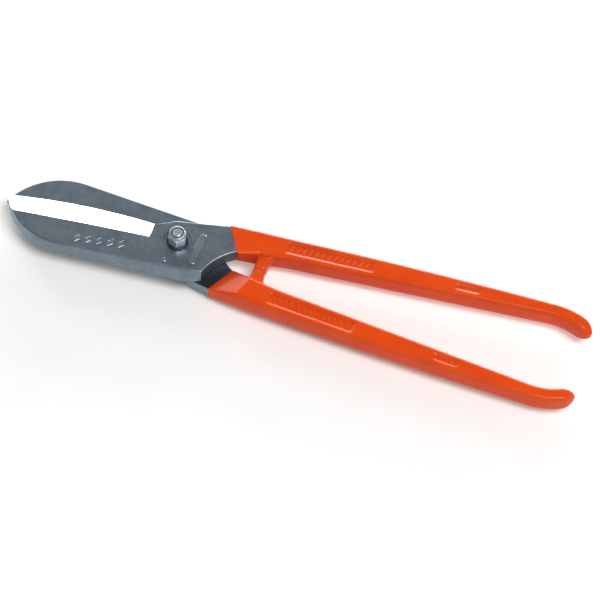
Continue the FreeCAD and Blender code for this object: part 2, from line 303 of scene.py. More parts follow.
# ----------------------------------------------------------------- materials
def linear(code: str) -> tuple[float, float, float, float]:
    """The linear colour of an sRGB hex code.

    Args:
        code: Six hex digits after a hash sign.

    Returns:
        Red, green, blue and an alpha of 1.
    """
    parts = [int(code[i : i + 2], 16) / 255 for i in (1, 3, 5)]
    red, green, blue = (p / 12.92 if p <= 0.04045 else ((p + 0.055) / 1.055) ** 2.4 for p in parts)
    return red, green, blue, 1.0


def per_size(millimetres: float) -> float:
    """The texture scale at which a pattern repeats about once in that size."""
    return 1.0 / (millimetres * MM)


def add_node(
    tree: bpy.types.NodeTree, kind: str, inputs: dict[int | str, object] | None = None, **settings: object
) -> bpy.types.Node:
    """Adds one node with its settings, its values and its links.

    Args:
        tree: Node tree that takes the node.
        kind: Blender's name of the node type, after its ShaderNode.
        inputs: Values, output sockets or nodes by input name or number. A node gives
            its first output in use.
        settings: Properties of the node by name.

    Returns:
        The new node.
    """
    node = tree.nodes.new("ShaderNode" + kind)
    for name, value in settings.items():
        setattr(node, name, value)
    for key, value in (inputs or {}).items():
        if isinstance(value, bpy.types.Node):
            value = next(socket for socket in value.outputs if socket.enabled)
        if isinstance(value, bpy.types.NodeSocket):
            tree.links.new(value, node.inputs[key])
        else:
            node.inputs[key].default_value = value
    return node


Adder = Callable[..., bpy.types.Node]


@dataclass(frozen=True)
class Finish:
    """A surface finish, drawn in the object's own coordinates."""

    name: str

    def build(self) -> bpy.types.Material:
        """Makes the material.

        Returns:
            The material, its patterns in real millimetres.
        """
        material = bpy.data.materials.new(self.name)
        material.use_nodes = True
        material.node_tree.nodes.clear()
        add = partial(add_node, material.node_tree)
        place = add("TexCoord").outputs["Object"]
        add("OutputMaterial", {"Surface": add("BsdfPrincipled", self.dress(add, place))})
        return material

    def dress(self, add: Adder, place: bpy.types.NodeSocket) -> dict[str, object]:
        """Draws the patterns of the finish.

        Args:
            add: Adds a node to the material's tree.
            place: Where the surface point lies on the object.

        Returns:
            The shader's inputs by name.
        """
        raise NotImplementedError


@dataclass(frozen=True)
class ForgedSteel(Finish):
    """Drop-forged carbon steel, phosphated blue-grey and oiled.

    The eye sees a dull, slightly mottled slate colour with the faint grain of
    the die, paler steel where handling has rubbed the rounded edges, raised
    marks made paler by rubbing and a painted highlight, and painted shade
    with old black oil on the inner faces behind the pivot.
    """

    name: str = "phosphated_forged_steel"
    slate: str = "#7A8691"
    pale_slate: str = "#8A96A1"
    dark_slate: str = "#6C7782"
    rubbed: str = "#AAB4BD"
    # painted shade with old oil, laid on the inner faces behind the pivot
    oil_and_shade: str = "#2C2D2E"
    metallic: float = 0.95
    roughness: float = 0.4
    spread: float = 0.07  # how far the roughness strays either way
    face_mm: float = 7.0  # height of the outer faces; the marks on them stand proud
    # paleness of the raised marks: rubbed wear and painted highlight together
    proud_wear_and_highlight: float = 0.22
    scratch_wear: float = 0.28
    oil_and_shade_cover: float = 0.85
    oil_and_shade_mm: float = 27.0  # old oil and painted shade blacken the inner faces this far round the pivot
    oil_and_shade_fade_mm: float = 6.0
    mottle_mm: float = 7.0
    grain_mm: float = 0.8  # real phosphate crystals are far finer; drawn coarse enough to show
    scratch_mm: float = 0.45
    scratch_length_mm: float = 14.0
    scratch_turn: float = 0.5  # radians from the length of the blade

    def dress(self, add: Adder, place: bpy.types.NodeSocket) -> dict[str, object]:
        """Mottled, grained slate with worn edges, painted highlight on the marks, and oil with painted shade
        inside.

        Args:
            add: Adds a node to the material's tree.
            place: Where the surface point lies on the object.

        Returns:
            The shader's inputs by name.
        """
        mottle = add("TexNoise", {
            "Vector": place, "Scale": per_size(self.mottle_mm), "Detail": 5.0, "Roughness": 0.62})
        grain = add("TexNoise", {"Vector": place, "Scale": per_size(self.grain_mm), "Detail": 3.0})
        stretch = (1.0, self.scratch_length_mm / self.scratch_mm, 1.0)
        scratch = add("TexNoise", {
            "Vector": add("Mapping", {
                "Vector": place, "Rotation": (0.0, 0.0, self.scratch_turn), "Scale": stretch}),
            "Scale": per_size(self.scratch_length_mm), "Detail": 1.0})
        ground = add("Mix", {
            0: add("MapRange", {"Value": mottle, "From Min": 0.35, "From Max": 0.65}),
            6: linear(self.dark_slate), 7: linear(self.pale_slate)}, data_type="RGBA")
        body = add("Mix", {0: grain, 6: ground, 7: linear(self.slate)}, data_type="RGBA")
        edge = add("NewGeometry").outputs["Pointiness"]
        worn = add("Math", {
            0: add("MapRange", {"Value": edge, "From Min": 0.525, "From Max": 0.57}),
            1: add("MapRange", {
                "Value": mottle, "From Min": 0.3, "From Max": 0.6, "To Min": 0.25, "To Max": 0.8}),
        }, operation="MULTIPLY")
        local = add("VectorMath", {0: place, 1: PIVOT}, operation="SUBTRACT")
        axes = add("SeparateXYZ", {0: local}).outputs
        height = add("Math", {0: axes["Z"]}, operation="ABSOLUTE")
        # the raised marks are painted paler: partly rubbed wear, partly painted highlight
        proud = add("MapRange", {
            "Value": height, "From Min": (self.face_mm + 0.1) * MM,
            "From Max": (self.face_mm + 0.35) * MM, "To Max": self.proud_wear_and_highlight})
        marked = add("Math", {
            0: add("MapRange", {"Value": scratch, "From Min": 0.68, "From Max": 0.76}),
            1: self.scratch_wear,
            2: add("Math", {0: proud, 1: worn}, operation="MAXIMUM"),
        }, operation="MULTIPLY_ADD", use_clamp=True)
        dry = add("Mix", {0: marked, 6: body, 7: linear(self.rubbed)}, data_type="RGBA")
        # painted shade with old oil: the inner faces near and behind the pivot are darkened where the halves
        # shade each other
        inside = add("MapRange", {
            "Value": height, "From Min": 0.2 * MM, "From Max": 0.6 * MM, "To Min": 1.0, "To Max": 0.0})
        behind = add("MapRange", {"Value": axes["X"], "From Min": 4.0 * MM, "From Max": 12.0 * MM})
        near = add("MapRange", {
            "Value": add("VectorMath", {0: local}, operation="LENGTH"),
            "From Min": self.oil_and_shade_mm * MM, "From Max": (self.oil_and_shade_mm + self.oil_and_shade_fade_mm) * MM,
            "To Min": self.oil_and_shade_cover, "To Max": 0.0}, interpolation_type="SMOOTHSTEP")
        hidden = add("Math", {0: inside, 1: behind}, operation="MULTIPLY")
        oiled_and_shaded = add("Math", {0: hidden, 1: near}, operation="MULTIPLY")
        waves = add("Bump", {"Height": mottle, "Strength": 0.22, "Distance": 0.35 * MM})
        return {
            "Base Color": add("Mix", {0: oiled_and_shaded, 6: dry, 7: linear(self.oil_and_shade)}, data_type="RGBA"),
            "Metallic": self.metallic,
            "Roughness": add("MapRange", {
                "Value": grain, "From Min": 0.3, "From Max": 0.7,
                "To Min": self.roughness - self.spread, "To Max": self.roughness + self.spread}),
            "Normal": add("Bump", {
                "Height": grain, "Strength": 0.3, "Distance": 0.06 * MM, "Normal": waves})}


@dataclass(frozen=True)
class GroundSteel(Finish):
    """Hardened steel, ground bright on a wheel across the cutting edge.

    The eye sees a near-white metal with fine parallel lines that run from the
    cutting edge up the bevel.
    """

    name: str = "ground_steel"
    bright: str = "#F1F3F5"
    shade: str = "#D2D6DA"
    smoothest: float = 0.22  # roughness between the lines
    roughest: float = 0.4  # and on them
    line_mm: float = 0.3  # real grinding lines are nearer 0.05; drawn coarse enough to show
    line_length_mm: float = 9.0
    line_turn: float = 0.12  # radians from straight across the blade

    def dress(self, add: Adder, place: bpy.types.NodeSocket) -> dict[str, object]:
        """Bright metal under grinding lines that run across the blade.

        Args:
            add: Adds a node to the material's tree.
            place: Where the surface point lies on the object.

        Returns:
            The shader's inputs by name.
        """
        stretch = (self.line_length_mm / self.line_mm, 1.0, 1.0)
        lines = add("TexNoise", {
            "Vector": add("Mapping", {
                "Vector": place, "Rotation": (0.0, 0.0, self.line_turn), "Scale": stretch}),
            "Scale": per_size(self.line_length_mm), "Detail": 3.0, "Roughness": 0.7})
        return {
            "Base Color": add("Mix", {
                0: add("MapRange", {"Value": lines, "From Min": 0.3, "From Max": 0.62}),
                6: linear(self.shade), 7: linear(self.bright)}, data_type="RGBA"),
            "Metallic": 1.0,
            "Roughness": add("MapRange", {
                "Value": lines, "From Min": 0.3, "From Max": 0.7,
                "To Min": self.smoothest, "To Max": self.roughest}),
            "Normal": add("Bump", {"Height": lines, "Strength": 0.2, "Distance": 0.04 * MM})}


@dataclass(frozen=True)
class DipCoat(Finish):
    """Gloss orange enamel, dipped and baked on the forged handles.

    The eye sees a saturated orange with a soft gloss, the slight waviness of a
    dipped film, painted shade of deeper red-orange in the recesses and paler
    rubbed edges.
    """

    name: str = "dipped_orange_enamel"
    orange: str = "#D5460B"
    deep: str = "#C43806"
    painted_hollow_shade: str = "#942404"
    pale: str = "#E66A34"
    grime: str = "#7A240B"
    smoothest: float = 0.29
    roughest: float = 0.42  # roughness on the specks
    specular: float = 0.1
    coat: float = 0.17
    coat_roughness: float = 0.13
    film_mm: float = 16.0
    peel_mm: float = 1.9
    speck_mm: float = 1.3

    def dress(self, add: Adder, place: bpy.types.NodeSocket) -> dict[str, object]:
        """A wavy orange film, darker in hollows by painted shade, rubbed on edges and specked with grime.

        Args:
            add: Adds a node to the material's tree.
            place: Where the surface point lies on the object.

        Returns:
            The shader's inputs by name.
        """
        film = add("TexNoise", {"Vector": place, "Scale": per_size(self.film_mm), "Detail": 3.0})
        peel = add("TexNoise", {"Vector": place, "Scale": per_size(self.peel_mm), "Detail": 2.0})
        specks = add("TexNoise", {
            "Vector": place, "Scale": per_size(self.speck_mm), "Detail": 4.0, "Roughness": 0.7})
        edge = add("NewGeometry").outputs["Pointiness"]
        layers = (
            (add("MapRange", {"Value": film, "From Min": 0.42, "From Max": 0.72, "To Max": 0.55}), self.deep),
            # painted shade: the concave places of the coat are darkened to a deeper red
            (add("MapRange", {"Value": edge, "From Min": 0.493, "From Max": 0.465, "To Max": 0.75}),
             self.painted_hollow_shade),
            (add("Math", {
                0: add("MapRange", {"Value": edge, "From Min": 0.51, "From Max": 0.55, "To Max": 0.5}),
                1: specks}, operation="MULTIPLY"), self.pale),
            (add("MapRange", {"Value": specks, "From Min": 0.68, "From Max": 0.74, "To Max": 0.5}),
             self.grime),
        )
        colour = linear(self.orange)
        for cover, tone in layers:
            colour = add("Mix", {0: cover, 6: colour, 7: linear(tone)}, data_type="RGBA")
        sags = add("Bump", {"Height": film, "Strength": 0.3, "Distance": 0.9 * MM})
        return {
            "Base Color": colour,
            "Roughness": add("MapRange", {
                "Value": specks, "From Min": 0.3, "From Max": 0.7,
                "To Min": self.smoothest, "To Max": self.roughest}),
            "IOR": 1.5, "Specular IOR Level": self.specular,
            "Coat Weight": self.coat, "Coat Roughness": self.coat_roughness,
            "Normal": add("Bump", {
                "Height": peel, "Strength": 0.25, "Distance": 0.09 * MM, "Normal": sags})}


@dataclass(frozen=True)
class TurnedMetal(Finish):
    """Machined or pressed hardware steel under a thin finish.

    Bright zinc gives a pale, slightly cloudy metal with rubbed edges; black
    oxide gives a dark, oily one.
    """

    body: str
    cloud: str
    rubbed: str
    metallic: float
    roughness: float
    cloud_mm: float = 2.6
    tool_mark_mm: float = 0.25  # real tool marks are finer; drawn coarse enough to show
    flatten: float = 0.12  # squeezes X and Y, so that the marks lie flat round the axis
    smoother: float = 0.07
    rougher: float = 0.09

    def dress(self, add: Adder, place: bpy.types.NodeSocket) -> dict[str, object]:
        """Cloudy metal with rubbed edges, under marks that run round the axis.

        Args:
            add: Adds a node to the material's tree.
            place: Where the surface point lies on the object.

        Returns:
            The shader's inputs by name.
        """
        cloud = add("TexNoise", {"Vector": place, "Scale": per_size(self.cloud_mm), "Detail": 4.0})
        marks = add("TexNoise", {
            "Vector": add("Mapping", {"Vector": place, "Scale": (self.flatten, self.flatten, 1.0)}),
            "Scale": per_size(self.tool_mark_mm), "Detail": 2.0})
        edge = add("NewGeometry").outputs["Pointiness"]
        base = add("Mix", {
            0: add("MapRange", {"Value": cloud, "From Min": 0.35, "From Max": 0.65}),
            6: linear(self.body), 7: linear(self.cloud)}, data_type="RGBA")
        return {
            "Base Color": add("Mix", {
                0: add("MapRange", {"Value": edge, "From Min": 0.52, "From Max": 0.6, "To Max": 0.8}),
                6: base, 7: linear(self.rubbed)}, data_type="RGBA"),
            "Metallic": self.metallic,
            "Roughness": add("MapRange", {
                "Value": cloud, "From Min": 0.3, "From Max": 0.7,
                "To Min": self.roughness - self.smoother, "To Max": self.roughness + self.rougher}),
            "Normal": add("Bump", {"Height": marks, "Strength": 0.2, "Distance": 0.03 * MM})}


@dataclass(frozen=True)
class MouldedNylon(Finish):
    """The lock nut's nylon ring: dull, faintly waxy, marked by the thread."""

    name: str = "moulded_nylon"
    body: str = "#3D444C"
    scuffed: str = "#59626B"
    roughness: float = 0.5
    spread: float = 0.1
    scuff_mm: float = 0.7

    def dress(self, add: Adder, place: bpy.types.NodeSocket) -> dict[str, object]:
        """Dull nylon with small scuffs.

        Args:
            add: Adds a node to the material's tree.
            place: Where the surface point lies on the object.

        Returns:
            The shader's inputs by name.
        """
        scuffs = add("TexNoise", {"Vector": place, "Scale": per_size(self.scuff_mm), "Detail": 4.0})
        return {
            "Base Color": add("Mix", {
                0: scuffs, 6: linear(self.body), 7: linear(self.scuffed)}, data_type="RGBA"),
            "Roughness": add("MapRange", {
                "Value": scuffs,
                "To Min": self.roughness - self.spread, "To Max": self.roughness + self.spread}),
            "IOR": 1.53,
            "Normal": add("Bump", {"Height": scuffs, "Strength": 0.3, "Distance": 0.05 * MM})}


@dataclass(frozen=True)
class StudioPaper(Finish):
    """Seamless white paper for the floor, very faintly uneven."""

    name: str = "studio_paper"
    light: str = "#FBFBFA"
    shade: str = "#F6F6F5"
    fibre_mm: float = 40.0
    roughness: float = 0.9

    def dress(self, add: Adder, place: bpy.types.NodeSocket) -> dict[str, object]:
        """Matt white with a very faint unevenness.

        Args:
            add: Adds a node to the material's tree.
            place: Where the surface point lies on the object.

        Returns:
            The shader's inputs by name.
        """
        fibre = add("TexNoise", {"Vector": place, "Scale": per_size(self.fibre_mm), "Detail": 3.0})
        return {
            "Base Color": add("Mix", {
                0: fibre, 6: linear(self.light), 7: linear(self.shade)}, data_type="RGBA"),
            "Roughness": self.roughness}


BRIGHT_ZINC = TurnedMetal("bright_zinc_plate", "#A9B2BB", "#C0C8D0", "#F0F3F7", 0.75, 0.34)
BLACK_OXIDE = TurnedMetal("black_oxide", "#2B2F35", "#353A41", "#737B84", 0.6, 0.42)


# -------------------------------------------------------------------- pieces
@dataclass
class Piece:
    """One finished piece: its mesh, where it rides and what it stands for."""

    name: str
    half: Half
    node: str
    slot: Slot
    materials: list[bpy.types.Material]
    sharp_degrees: float = 40.0

    def place(self, mesh: bpy.types.Mesh) -> None:
        """Puts a copy of the mesh where the frame has the piece, and dresses it.

        Args:
            mesh: Mesh in millimetres, in the half's own frame or the pivot's.
        """
        own = mesh.copy()
        own.name = self.name
        for material in self.materials:
            own.materials.append(material)
        own.transform(self.seat() @ Matrix.Scale(MM, 4))
        own.shade_smooth()
        own.set_sharp_from_angle(angle=math.radians(self.sharp_degrees))
        body = bpy.data.objects.new(self.name, own)
        bpy.context.scene.collection.objects.link(body)
        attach(body, self.half.value)
        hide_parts(self.node)
        LOG.info("%s rides on %s, %d faces", self.name, self.half.value, len(own.polygons))

    def seat(self) -> Matrix:
        """Where the piece's own frame lies in the frame, in metres."""
        return Matrix.Translation(PIVOT)


@dataclass
class DiePiece(Piece):
    """A piece that leaves the same die for both halves."""

    lift: float = 0.02  # millimetres; the halves leave this much room on both sides of z = 0

    def seat(self) -> Matrix:
        """The half's frame: lifted off the other half, turned about X for the rear one."""
        turn = Matrix.Rotation(math.pi if self.half is Half.REAR else 0.0, 4, "X")
        return Matrix.Translation(PIVOT) @ turn @ Matrix.Translation(UP * (self.lift * MM))


@dataclass(frozen=True)
class BladePlate:
    """One blade with its joint plate, in millimetres."""

    reach: float = 92.8
    thickness: float = 7.0
    tip_overlap: float = 2.4
    edge_overlap: float = 10.2
    notch_reach: float = 15.5
    edge_crown: float = 2.2
    edge_land: float = 0.7
    bevel_width_tip: float = 12.4
    bevel_width_notch: float = 12.0
    bevel_end_lean: float = 1.3
    nose_length: float = 34.8
    nose_depth: float = 21.9
    nose_radius: float = 34.6
    nose_draft: float = 0.9
    back_depth: float = 17.8
    back_draft: float = 3.2
    heel_draft: float = 1.6
    heel_reach: float = 17.3
    heel_length: float = 6.3
    heel_rise: float = 2.9
    joint_radius: float = 13.5
    joint_draft: float = 1.1
    joint_start_angle: float = 130.0
    joint_end_angle: float = 95.0
    notch_draft: float = 4.1
    throat_radius: float = 30.0
    throat_draft: float = 0.4
    root_length: float = 1.5  # steel that runs on under the coating
    tuck: float = 0.15  # and how far each side of it keeps inside the coating
    edge_softness: float = 0.75  # rounding that the die leaves along the outer face
    inner_softness: float = 0.22  # edge break along the inner face
    sharp: float = 0.1  # a softness under this belongs to the ground edge and stays
    blending: int = 6  # how often the other softnesses are evened out with their neighbours
    hold: float = 0.45  # width of the flat band that keeps the face's shading level
    seat_radius: float = 7.5
    seat_depth: float = 0.3
    mark_height: float = 0.35
    mark_round: float = 0.3
    mark_count: int = 5
    mark_reach: float = 48.3
    mark_drop: float = 14.5
    mark_pitch: float = 5.6
    mark_slope: float = 9.0
    mark_long: float = 5.6
    mark_short: float = 3.4
    mark_lean: float = 15.0
    pad_reach: float = 11.2
    pad_drop: float = 1.4
    pad_length: float = 19.0
    pad_width: float = 4.0
    pad_lean: float = 4.0
    dot_radius: float = 1.3
    dot_reach: float = 2.7
    dot_drop: float = 12.5
    bore_radius: float = 2.55
    square_bore: float = 7.5
    over: float = 1.0
    edge_cut: int = 3  # steps of the edge that the rounding of the tip takes
    nose_cut: int = 2  # steps of the nose that it takes
    cell: float = 1.6  # size of the faces that carry the wear
    bevel_tilt: tuple[float, float] = (0.5, 0.985)  # Z of the bevel's normals lies between these
    bevel_lean: float = 0.15  # and their Y is over this
    land_lean: float = 0.6  # Y of the land's normals is over this
    slack: float = 0.05

    def edge_ends(self) -> tuple[Vector, Vector]:
        """The ends of the cutting edge, at the tip and at the notch."""
        return plan(-self.reach, self.tip_overlap), plan(-self.notch_reach, self.edge_overlap)

    def outline(self, run_in: float) -> tuple[list[Vector], list[float]]:
        """The plate's plan outline and how soft its edge is at each point.

        Args:
            run_in: Share of the forging draft, 0 at the inner face and 1 at the outer.

        Returns:
            The outline, counter-clockwise, and a softness from 0 to 1 per point.
        """
        tip, notch = self.edge_ends()
        start = plan(self.nose_length - self.reach, -self.nose_depth)
        centre = circle_centre(tip, start, self.nose_radius)
        nose = self.nose_radius - run_in * self.nose_draft
        tip, start = (centre + (point - centre).normalized() * nose for point in (tip, start))
        joint = self.joint_radius - run_in * self.joint_draft
        neck = polar(AXIS, joint, self.joint_start_angle)
        crest = polar(AXIS, joint, self.joint_end_angle)
        notch = notch + plan(run_in * self.bevel_end_lean, -run_in * self.notch_draft)
        grip = CoatedHandle()
        across = (grip.dip_outer - grip.dip_inner).normalized()
        inner = grip.dip_inner + across * self.tuck
        outer = grip.dip_outer - across * self.tuck
        throat = inner + across * run_in * self.throat_draft
        inner_root = throat + (grip.ramp_inner - grip.dip_inner).normalized() * self.root_length
        outer_root = outer + (grip.ramp_outer - grip.dip_outer).normalized() * self.root_length
        heel = plan(self.heel_reach, -self.back_depth + self.heel_rise + run_in * self.heel_draft)
        back = plan(self.heel_reach - self.heel_length, -self.back_depth + run_in * self.back_draft)
        edge = bowed(notch, tip, -self.edge_crown, 70)[:-self.edge_cut]
        nose_run = arc(tip, start, centre, 44)[self.nose_cut:]
        shares = [k / 10 for k in range(1, 10)]
        rounded = [edge[-1].lerp(tip, t).lerp(tip.lerp(nose_run[0], t), t) for t in shares]
        # each stretch of the outline with its softness; the ground edge stays sharp
        runs = [
            (edge, 0.04),
            (rounded, 0.06),
            (nose_run, 1.0),
            (straight(start, back, 36), 1.0),
            (straight(back, heel, 5), 1.0),
            (arc(heel, throat, circle_centre(throat, heel, self.throat_radius), 20), 1.0),
            (straight(throat, inner_root, 2), 0.4),
            (straight(inner_root, outer_root, 8), 0.2),
            (straight(outer_root, outer, 2), 0.4),
            (straight(outer, crest, 12), 1.0),
            (arc(crest, neck, AXIS, 12), 1.0),
            (straight(neck, notch, 6), 0.6),
        ]
        points = [point for run, _ in runs for point in run]
        soft = [value for run, value in runs for _ in run]
        for _ in range(self.blending):
            soft = [
                value if value < self.sharp else (soft[i - 1] + value + soft[(i + 1) % len(soft)]) / 3
                for i, value in enumerate(soft)
            ]
        return points, soft

    def blank(self) -> bpy.types.Mesh:
        """The drafted plate with its edges rounded, before grinding.

        Returns:
            A closed mesh.
        """
        base, soft = self.outline(0.0)
        top, _ = self.outline(1.0)

        def level(height: float, depth: float) -> list[Vector]:
            """The plate's outline at a height, drawn in by a depth where it is soft.

            Args:
                height: Height over the inner face.
                depth: How far the softest points move inwards.

            Returns:
                The points of the ring.
            """
            share = height / self.thickness
            outline = [a.lerp(b, share) for a, b in zip(base, top)]
            moved = inset(outline, [value * depth for value in soft])
            return [at(point, height) for point in moved]

        low, high = self.inner_softness, self.edge_softness
        rings = [level(0.0, low + self.hold)]
        rings += [level(*step) for step in rounding(low, 5)]
        rings += [level(self.thickness * share, 0.0) for share in (0.3, 0.6)]
        rings += [level(self.thickness - under, drawn) for drawn, under in rounding(high, 6)]
        rings.append(level(self.thickness, high + self.hold))
        return skin("plate", rings)

    def wheel(self) -> bpy.types.Mesh:
        """The stock that grinding takes off above the cutting edge.

        Returns:
            A closed mesh.
        """
        tip, notch = self.edge_ends()
        far = plan(0, self.reach)
        reach = (self.thickness + self.over - self.edge_land) / (self.thickness - self.edge_land)
        top_tip = tip - plan(self.over, self.bevel_width_tip * reach)
        top_notch = notch + plan(self.bevel_end_lean, -self.bevel_width_notch * reach)
        low = bowed(notch, tip, -self.edge_crown, 60) + [tip, tip + far, notch + far]
        high = straight(top_notch, top_tip, 60) + [top_tip, top_tip + far * 2, top_notch + far * 2]
        return skin("wheel", [[at(p, self.edge_land) for p in low],
                              [at(p, self.thickness + self.over) for p in high]])

    def boss(self, outline: Sequence[Vector]) -> bpy.types.Mesh:
        """A low raised mark with a rounded top edge.

        Args:
            outline: Its plan outline, counter-clockwise.

        Returns:
            A closed mesh, sunk into the plate.
        """
        top, count = self.thickness + self.mark_height, len(outline)
        edge = self.mark_round
        steps = ((-self.over - self.mark_height, 0.0), (-edge, 0.0), (-edge * 0.4, edge * 0.3),
                 (0.0, edge), (0.0, edge * 1.5))
        return skin("mark", [[at(p, top + z) for p in inset(outline, [depth] * count)]
                             for z, depth in steps])

    def marks(self) -> list[bpy.types.Mesh]:
        """The plain lozenges, the long pad and the dot of the outer face.

        Returns:
            One closed mesh each.
        """
        made = []
        row = leaning(90.0 - self.mark_slope) * self.mark_pitch
        tall = leaning(self.mark_lean) * (self.mark_long / 2)
        wide = leaning(self.mark_lean + 90) * (self.mark_short / 2)
        for i in range(self.mark_count):
            middle = plan(-self.mark_reach, -self.mark_drop) + row * i
            made.append(self.boss([middle + tall, middle - wide, middle - tall, middle + wide]))
        pad, along = plan(self.pad_reach, -self.pad_drop), leaning(self.pad_lean)
        radius = self.pad_width / 2
        half = along * (self.pad_length / 2 - radius)
        made.append(self.boss([
            polar(end, radius, start - self.pad_lean + 18 * i)
            for end, start in ((pad + half, 0), (pad - half, 180)) for i in range(11)]))
        made.append(self.boss(circle(plan(-self.dot_reach, -self.dot_drop), self.dot_radius, 24)))
        return made

    def bore(self, half: Half) -> bpy.types.Mesh:
        """The pivot hole: round in the front half, square in the rear one.

        Args:
            half: Which half the plate belongs to.

        Returns:
            The stock to take off.
        """
        rim = circle(AXIS, self.bore_radius, 36)
        if half is Half.REAR:
            rim = circle(AXIS, self.square_bore / math.sqrt(2), 4, 45)
        return prism("bore", rim, -self.over, self.thickness + self.over)

    def forging(self, half: Half) -> bpy.types.Mesh:
        """The finished plate.

        Args:
            half: Which half the plate belongs to.

        Returns:
            The mesh; faces of material 1 are ground bright.
        """
        top = self.thickness + self.over
        spot = prism("spot", circle(AXIS, self.seat_radius, 72), self.thickness - self.seat_depth, top)
        tools = [(self.wheel(), Cut.REMOVE)] + [(mark, Cut.ADD) for mark in self.marks()]
        tools += [(spot, Cut.REMOVE), (self.bore(half), Cut.REMOVE)]
        mesh = carve(self.blank(), tools)
        dice(mesh, self.cell)
        for face in mesh.polygons:
            steep, flat = self.bevel_tilt
            slope = steep < face.normal.z < flat and face.normal.y > self.bevel_lean
            land = face.normal.y > self.land_lean and face.center.z < self.edge_land + self.slack
            ahead = face.center.x < -self.notch_reach + self.bevel_end_lean
            face.material_index = int(ahead and (slope or land))
        return mesh


@dataclass(frozen=True)
class Section:
    """One cross-section of the handle, standing on the plan line from inner to outer."""

    inner: Vector
    outer: Vector
    low: float
    high: float
    soft: float

    @property
    def middle(self) -> Vector:
        """The middle of the section in plan."""
        return (self.inner + self.outer) / 2

    @property
    def side(self) -> Vector:
        """The unit vector from the inner to the outer side."""
        return (self.outer - self.inner).normalized()

    def numbers(self) -> list[float]:
        """The section as a row of numbers, for blending."""
        return [*self.inner, *self.outer, self.low, self.high, self.soft]

    @staticmethod
    def of(row: Sequence[float]) -> Section:
        """The section that a row of numbers says."""
        return Section(Vector(row[0:3]), Vector(row[3:6]), *row[6:])

    def blend(self, other: Section, share: float) -> Section:
        """The section that lies that share of the way to the other one."""
        return Section.of([p + (q - p) * share for p, q in zip(self.numbers(), other.numbers())])


@dataclass(frozen=True)
class Panel:
    """A recessed panel of the handle with low plain bars standing in it."""

    start: float
    end: float
    width: float
    bars: int


